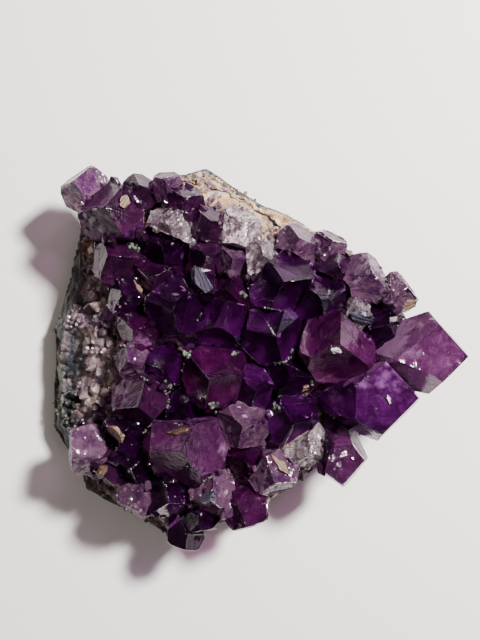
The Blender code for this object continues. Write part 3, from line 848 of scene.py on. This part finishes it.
# %% Many copies of one pattern
def scattered(name, pattern, placements, material, slot):
    """One piece made of many copies of a pattern, each copy at its own placement matrix."""
    copies = []
    for placement in placements:
        mesh = pattern.data.copy()
        mesh.transform(placement)
        copies.append(bpy.data.objects.new(name, mesh))
        bpy.context.scene.collection.objects.link(copies[-1])
    bpy.ops.object.select_all(action="DESELECT")
    for piece in copies:
        piece.select_set(True)
    bpy.context.view_layer.objects.active = copies[0]
    bpy.ops.object.join()
    piece = copies[0]
    piece.name = name
    piece.data.materials.clear()
    piece.data.materials.append(material)
    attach(piece, "root")
    return piece


def standing(spot, direction, turn, size, height):
    """Places a pattern on a spot, with its +Z along a direction."""
    upright = direction.to_track_quat("Z", "Y").to_matrix().to_4x4()
    scale = Matrix.Diagonal((size, size, size * height, 1.0))
    return Matrix.Translation(spot) @ upright @ Matrix.Rotation(turn, 4, "Z") @ scale


# %% The valleys
BED_CENTRE = (cad_low + cad_high) / 2
RIM_STARTS, RIM_WIDTH = 16, 26  # in millimetres, outwards from the centre
LOWEST_VALLEY = 18 * MM


def valley_edges():
    """The upper edges of the seams, as (start, end, node): crystal edges with a neighbour close beside."""
    edges = []
    for name in crystal_names:
        piece = copy_of(name, "valley", facets=True)
        mesh = piece.data
        for edge in mesh.edges:
            start, end = [mesh.vertices[i].co.copy() for i in edge.vertices]
            seams = [touches(p) for p in mesh.polygons if set(edge.vertices) <= set(p.vertices)]
            if seams.count(True) == 1 and min(start.z, end.z) > LOWEST_VALLEY:
                edges.append((start, end, name))
        bpy.data.objects.remove(piece)
    return edges


def rim_share(spot):
    """0 in the middle of the bed, 1 at its rim."""
    away = spot - BED_CENTRE
    away.z = 0.0
    return min(max((away.length / MM - RIM_STARTS) / RIM_WIDTH, 0.0), 1.0)


valleys = valley_edges()
print("valley edges:", len(valleys))

# %% Small crystals in the valleys
SPACING = 2.2 * MM
LEAST_GROWN, MORE_AT_RIM = 0.07, 0.34  # the share of the spots that a crystal stands on
LEAN_REACH = 60 * MM  # a crystal so far from the centre would lean out by 45 degrees
BED_EAST_END = 38 * MM  # past here the giants hang out over the floor, and nothing small grows on them

chance = random.Random(23)
places_of = {slot: [] for slot in TONES}
for start, end, name in valleys:
    for _ in range(max(1, int((end - start).length / SPACING))):
        spot = start.lerp(end, chance.random())
        if chance.random() > LEAST_GROWN + MORE_AT_RIM * rim_share(spot):
            continue
        outward = (spot - BED_CENTRE) / LEAN_REACH
        outward.z = 1.0
        size = chance.uniform(0.5, 1.4) + 0.7 * rim_share(spot) * chance.random()
        direction = (outward + jitter(chance, 0.3)).normalized()
        placement = standing(spot - direction * 1.1 * size * MM, direction,
                             chance.uniform(0, math.pi), size, chance.uniform(0.8, 1.5))
        if spot.x < BED_EAST_END:
            places_of[slot_of[name]].append(placement)
print("small crystals:", {slot: len(placements) for slot, placements in places_of.items()})


# %% Small crystals on the slopes
SKY = cad_high.z + MM  # rays come down from here
DOWN = Vector((0, 0, -1))


def open_spots(node_name, spacing, chance):
    """(place, normal) on a node where it is open to the sky, about a spacing apart."""
    spots = []
    low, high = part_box(node_name)
    for row in range(int((high.y - low.y) / spacing)):
        for column in range(int((high.x - low.x) / spacing)):
            x = low.x + (column + chance.uniform(0.1, 0.9)) * spacing
            y = low.y + (row + chance.uniform(0.1, 0.9)) * spacing
            hit, normal, face, _ = around.ray_cast(Vector((x, y, SKY)), DOWN)
            if face is not None and owner_of[face] == node_name and normal.z > 0.1:
                spots.append((hit, normal))
    return spots


def heap_spots(heaps, chance):
    """(place, normal) of the spots in each heap, on whatever lies uppermost there. A heap is its x, its y,
    its spread and its count, in millimetres."""
    for x, y, spread, count in heaps:
        for _ in range(count):
            above = Vector((chance.gauss(x, spread) * MM, chance.gauss(y, spread) * MM, SKY))
            hit, normal, face, _ = around.ray_cast(above, DOWN)
            if face is not None:
                yield hit, normal


slope_places = []
for spot, normal in open_spots("quartz_crust", 3.0 * MM, chance):
    if chance.random() < 0.5 and (spot.x < -28 * MM or spot.y < 0):
        size = chance.uniform(0.9, 2.2)
        direction = (normal + Vector((0, 0, 0.4)) + jitter(chance, 0.4)).normalized()
        slope_places.append(standing(spot - direction * 1.7 * size * MM, direction,
                                     chance.uniform(0, math.pi), size, chance.uniform(0.8, 1.2)))
scattered("slope_points", small_point, slope_places, rock["quartz_crust"], "quartz_crust")
for slot, placements in places_of.items():
    scattered("small_crystals_" + slot.split("_")[1], small_point, placements, stone[slot], slot)
print("points on the slopes:", len(slope_places))


# %% Druse
def druse_material():
    """Clear to milky quartz, with a faint lilac tinge from point to point."""
    material, tree, surface, output, place = new_material("quartz_druse")
    cloud = add(tree, "TexNoise", {"Vector": place, "Scale": 1 / (3.5 * MM), "Detail": 3.0, "Roughness": 0.6})
    colour = add(tree, "ValToRGB", {0: cloud}, stops=(
        (0.34, "#6a566e"), (0.48, "#98868e"), (0.60, "#b8aca8"), (0.70, "#9c8878")))
    gloss = add(tree, "MapRange", {0: cloud, 1: 0.3, 2: 0.7, 3: 0.12, 4: 0.30}, **SMOOTH)
    relief = grain_relief(tree, place, 0.5 * MM, 0.3, 0.15 * MM)
    feed(tree, surface, {"Base Color": colour, "Normal": relief, "Roughness": gloss, "IOR": QUARTZ_IOR,
                         "Transmission Weight": 0.6})
    let_lamps_in(tree, surface, output, "#c4bac4")
    return material


GLITTER = (  # the heaps of the finest druse
    (-20.3, 34.6, 2.8, 70), (-4.5, 36.0, 2.4, 60), (-38.0, 9.7, 2.2, 34), (16.1, -24.7, 2.4, 34),
    (-15.2, -37.6, 2.6, 34), (-32.7, -38.4, 2.4, 34), (34.4, 21.9, 3.0, 46), (5.4, 31.0, 1.8, 26),
)
druse_point = point_mesh("druse_point", 1.1)
chance = random.Random(11)
placements = []
for spot, normal in open_spots("quartz_crust", 1.5 * MM, chance):
    if noise.noise(spot / (7 * MM)) > 0.2:
        size = chance.uniform(0.35, 0.8)
        direction = (normal + Vector((0, 0, 0.4)) + jitter(chance, 0.35)).normalized()
        placements.append(standing(spot - normal * 1.0 * size * MM, direction,
                                   chance.uniform(0, math.pi), size, chance.uniform(0.6, 1.1)))
for spot, normal in heap_spots(GLITTER, chance):
    size = chance.uniform(0.25, 0.7)
    direction = (normal + jitter(chance, 0.4)).normalized()
    placements.append(standing(spot - normal * 0.8 * size * MM, direction,
                               chance.uniform(0, math.pi), size, chance.uniform(0.5, 0.9)))
druse = scattered("druse", druse_point, placements, druse_material(), "quartz_crust")
print("druse points:", len(placements), "faces:", len(druse.data.polygons))


# %% [markdown]
# ## Stained flakes, painted glints and crumbs
#
# Broken flakes of quartz are wedged between the crystals, striped by growth and stained cream or tan by
# iron and clay, or steel-grey. The first grey flake is a painted steel-blue reflection on a facet, and the
# white flakes are painted glints, one of them the painted highlight along that grey flake's top. Painting
# them on would leave them flat, so a flake is a thin plate with four or five sides and a smaller top, as long
# as the break that it came from. In the valleys lie crumbs of grey-green celadonite. A crumb is a small lump
# with a few flat sides, copied in clumps and, sparsely, along the seams.


# %% The flakes' material
def flake_material(name, pale, dark):
    """Broken quartz with growth stripes 0.6 mm apart, dull where the stain sits and glassy between."""
    material, tree, surface, _, place = new_material(name)
    along = add(tree, "Attribute", out="Vector", attribute_name="growth")
    stripes = add(tree, "TexWave", {"Vector": along, "Scale": 0.5, "Distortion": 3.0, "Detail": 3.0,
                                    "Detail Scale": 1.5}, out="Fac", bands_direction="Y")
    cloud = add(tree, "TexNoise", {"Vector": place, "Scale": 1 / (1.6 * MM), **GRAIN})
    share = add(tree, "Math", {0: stripes, 1: cloud}, operation="MULTIPLY")
    colour = add(tree, "ValToRGB", {0: share}, stops=((0.10, dark), (0.28, pale), (0.60, dark)))
    gloss = add(tree, "MapRange", {0: cloud, 1: 0.35, 2: 0.65, 3: 0.12, 4: 0.5}, **SMOOTH)
    relief = add(tree, "Bump", {"Height": share, "Strength": 0.6, "Distance": 0.3 * MM})
    feed(tree, surface, {"Base Color": colour, "Normal": relief, "Roughness": gloss, "IOR": QUARTZ_IOR})
    return material


FLAKE_FINISHES = {
    "cream": flake_material("cream_stained_quartz", "#a39078", "#5e4a48"),
    "tan": flake_material("iron_stained_quartz", "#76604c", "#4a3a36"),
    # Steel-grey; on the first grey flake it is a painted steel-blue reflection.
    "grey": flake_material("grey_quartz_and_painted_reflection", "#58545e", "#2c2638"),
    # Pale flakes that are painted glints, set where the crystals flash in the light.
    "painted_glint": flake_material("painted_glint_quartz", "#e6e2e2", "#a29aa2"),
}
print("finishes of the flakes:", list(FLAKE_FINISHES))

# %% Stained flakes, painted glints and a painted reflection
FLAKES = (  # x, y, length and width in millimetres, turn in degrees, finish
    # The first grey flake is a painted steel-blue reflection on a crystal's facet.
    (-13.6, 20.0, 7.0, 4.6, 100, "grey"), (-2.0, 13.1, 5.0, 2.4, 105, "tan"),
    (3.5, 24.2, 6.0, 3.6, 60, "cream"), (11.2, -21.2, 8.0, 2.4, 45, "cream"),
    (7.0, -28.5, 6.5, 2.8, -37, "cream"), (-19.4, -18.9, 5.5, 1.9, -10, "tan"),
    (-36.4, -19.7, 7.0, 3.4, 10, "cream"), (-39.4, -29.8, 3.0, 2.4, 30, "tan"),
    (13.4, -8.3, 2.8, 2.0, 60, "cream"), (40.9, 13.5, 5.0, 3.4, 20, "cream"),
    (-30.4, 18.1, 5.5, 1.3, 100, "cream"), (-33.5, 40.2, 4.2, 3.0, 40, "cream"),
    (28.5, 9.8, 9.0, 3.4, -40, "grey"), (-12.5, -36.0, 4.5, 2.4, 20, "grey"),
    # The last four flakes are painted glints; the first of them is the painted highlight on the first grey
    # flake's top.
    (-13.9, 22.4, 4.6, 1.6, 5, "painted_glint"), (20.6, 2.0, 2.6, 1.8, -30, "painted_glint"),
    (-3.4, 1.6, 1.8, 1.0, 40, "painted_glint"), (34.2, -10.6, 1.2, 2.4, 15, "painted_glint"),
)
FLAKE_THICKNESS = 1.4 * MM
FLAKE_STANDS_OUT = 0.22 * MM
FLAKE_SLOPE = 0.12 * MM  # how wide and how high the slope round its smaller top is
FLAKE_ODDNESS = 0.14  # how far its corners wander, in millimetres


def flake(number, x, y, length, width, turn, finish):
    """A flat plate sunk into the crystal that it lies on."""
    chance = random.Random(number)
    bpy.ops.object.select_all(action="DESELECT")
    bpy.ops.mesh.primitive_cylinder_add(vertices=chance.choice((4, 5, 5)), radius=1.15 * MM,
                                        depth=FLAKE_THICKNESS)
    piece = bpy.context.active_object
    piece.name = f"flake_{number:02d}_{finish}"
    mesh = piece.data
    top = [p.index for p in mesh.polygons if p.normal.z > 0.9]
    edit(piece, "FACE", top)
    bpy.ops.mesh.inset(thickness=FLAKE_SLOPE, depth=FLAKE_SLOPE)
    done()
    for vertex in mesh.vertices:
        vertex.co += jitter(chance, FLAKE_ODDNESS) * MM
    apply_modifier(piece, "TRIANGULATE")
    apply_modifier(piece, "SUBSURF", subdivision_type="SIMPLE", levels=3, render_levels=3)
    hit, normal, _, _ = around.ray_cast(Vector((x * MM, y * MM, SKY)), DOWN)
    along = Matrix.Rotation(math.radians(turn), 3, "Z") @ Vector((1, 0, 0))
    along = (along - normal * along.dot(normal)).normalized()
    turned = Matrix((along, normal.cross(along), normal)).transposed().to_4x4()
    write_growth(piece, Vector((0, 0, 1)), Vector((0, 0, MM)), 2 * MM)
    # The painted glints stand out twice as far as the other flakes.
    stands_out = FLAKE_STANDS_OUT * (2.0 if finish == "painted_glint" else 1.0)
    spot = hit + normal * (stands_out - FLAKE_THICKNESS / 2)
    mesh.transform(Matrix.Translation(spot) @ turned @ Matrix.Diagonal((length / 2, width / 2, 1, 1)))
    apply_modifier(piece, "DISPLACE", texture=crackle_cells, strength=-CRACKLE_DEPTH / 2, mid_level=0.0)
    smooth_up_to(piece, 12)
    piece.matrix_world = Matrix()
    mesh.materials.append(FLAKE_FINISHES[finish])
    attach(piece, "root")
    return piece


flakes = [flake(number, *values) for number, values in enumerate(FLAKES)]
print("flakes:", len(flakes))


# %% Crumbs in the valleys
def crumb_material():
    """Celadonite, a soft grey-green clay mineral that fills seams: quite matt."""
    material, tree, surface, _, place = new_material("celadonite")
    cloud = add(tree, "TexNoise", {"Vector": place, "Scale": 1 / (1.5 * MM), "Detail": 3.0, "Roughness": 0.6})
    colour = add(tree, "ValToRGB", {0: cloud}, stops=((0.35, "#30352f"), (0.5, "#596058"), (0.65, "#868b7d")))
    relief = grain_relief(tree, place, 0.3 * MM, 0.7, 0.1 * MM)
    feed(tree, surface, {"Base Color": colour, "Normal": relief, "Roughness": 0.85})
    return material


def crumb_mesh():
    bpy.ops.object.select_all(action="DESELECT")
    bpy.ops.mesh.primitive_ico_sphere_add(subdivisions=1, radius=MM)
    piece = bpy.context.active_object
    piece.name = "crumb"
    for vertex in piece.data.vertices:
        vertex.co *= 1.0 + 0.35 * noise.noise(vertex.co / MM * 1.7)
    return piece


CLUMPS = (  # the heaps of the larger clumps of crumbs
    (-31.2, 29.5, 0.8, 18), (-17.6, 0.5, 0.5, 12), (-22.4, -7.9, 0.9, 18), (-3.0, 16.5, 0.4, 9),
    (5.4, -13.2, 0.5, 12), (10.0, 1.3, 0.5, 10), (15.4, -6.3, 0.5, 10), (-10.6, -12.5, 0.5, 10),
    (-4.9, 1.3, 0.5, 9), (-53.5, -12.0, 1.4, 12), (-52.0, -17.0, 1.4, 10),
)
crumb = crumb_mesh()
chance = random.Random(5)
placements = []


def lay_crumb(spot, size):
    placements.append(standing(spot, jitter(chance, 1.0).normalized(), chance.uniform(0, 3), size, 0.8))


for start, end, _ in valleys:
    steps = max(1, int((end - start).length / (0.5 * MM)))
    for step in range(steps):
        spot = start.lerp(end, (step + chance.random()) / steps)
        patch = noise.noise(spot / (6.5 * MM))
        if spot.z > 24 * MM and patch > 0.30 and chance.random() < 2.0 * patch:
            lay_crumb(spot + (jitter(chance, 0.15) - Vector((0, 0, 0.2))) * MM, chance.uniform(0.12, 0.4))
for spot, _ in heap_spots(CLUMPS, chance):
    lay_crumb(spot, chance.uniform(0.2, 0.75))
scattered("seam_crumbs", crumb, placements, crumb_material(), "basalt_rind")
print("crumbs:", len(placements))

for pattern in (small_point, druse_point, crumb):
    bpy.data.objects.remove(pattern)

# %% [markdown]
# ## The floor
#
# A plain pale sheet of paper, wide enough to have no edge in view. It is staged, so it isn't part of the
# object.

# %% The floor
FLOOR_SIDE = 3.0

bpy.ops.object.select_all(action="DESELECT")
bpy.ops.mesh.primitive_plane_add(size=FLOOR_SIDE, location=(0.0, 0.0, 0.0))
floor = bpy.context.active_object
floor.name = "floor"
floor_material, tree, surface, _, _ = new_material("white_paper")
feed(tree, surface, {"Base Color": "#e9e7e6", "Roughness": 0.55})
floor.data.materials.append(floor_material)
print("floor:", FLOOR_SIDE, "m wide")
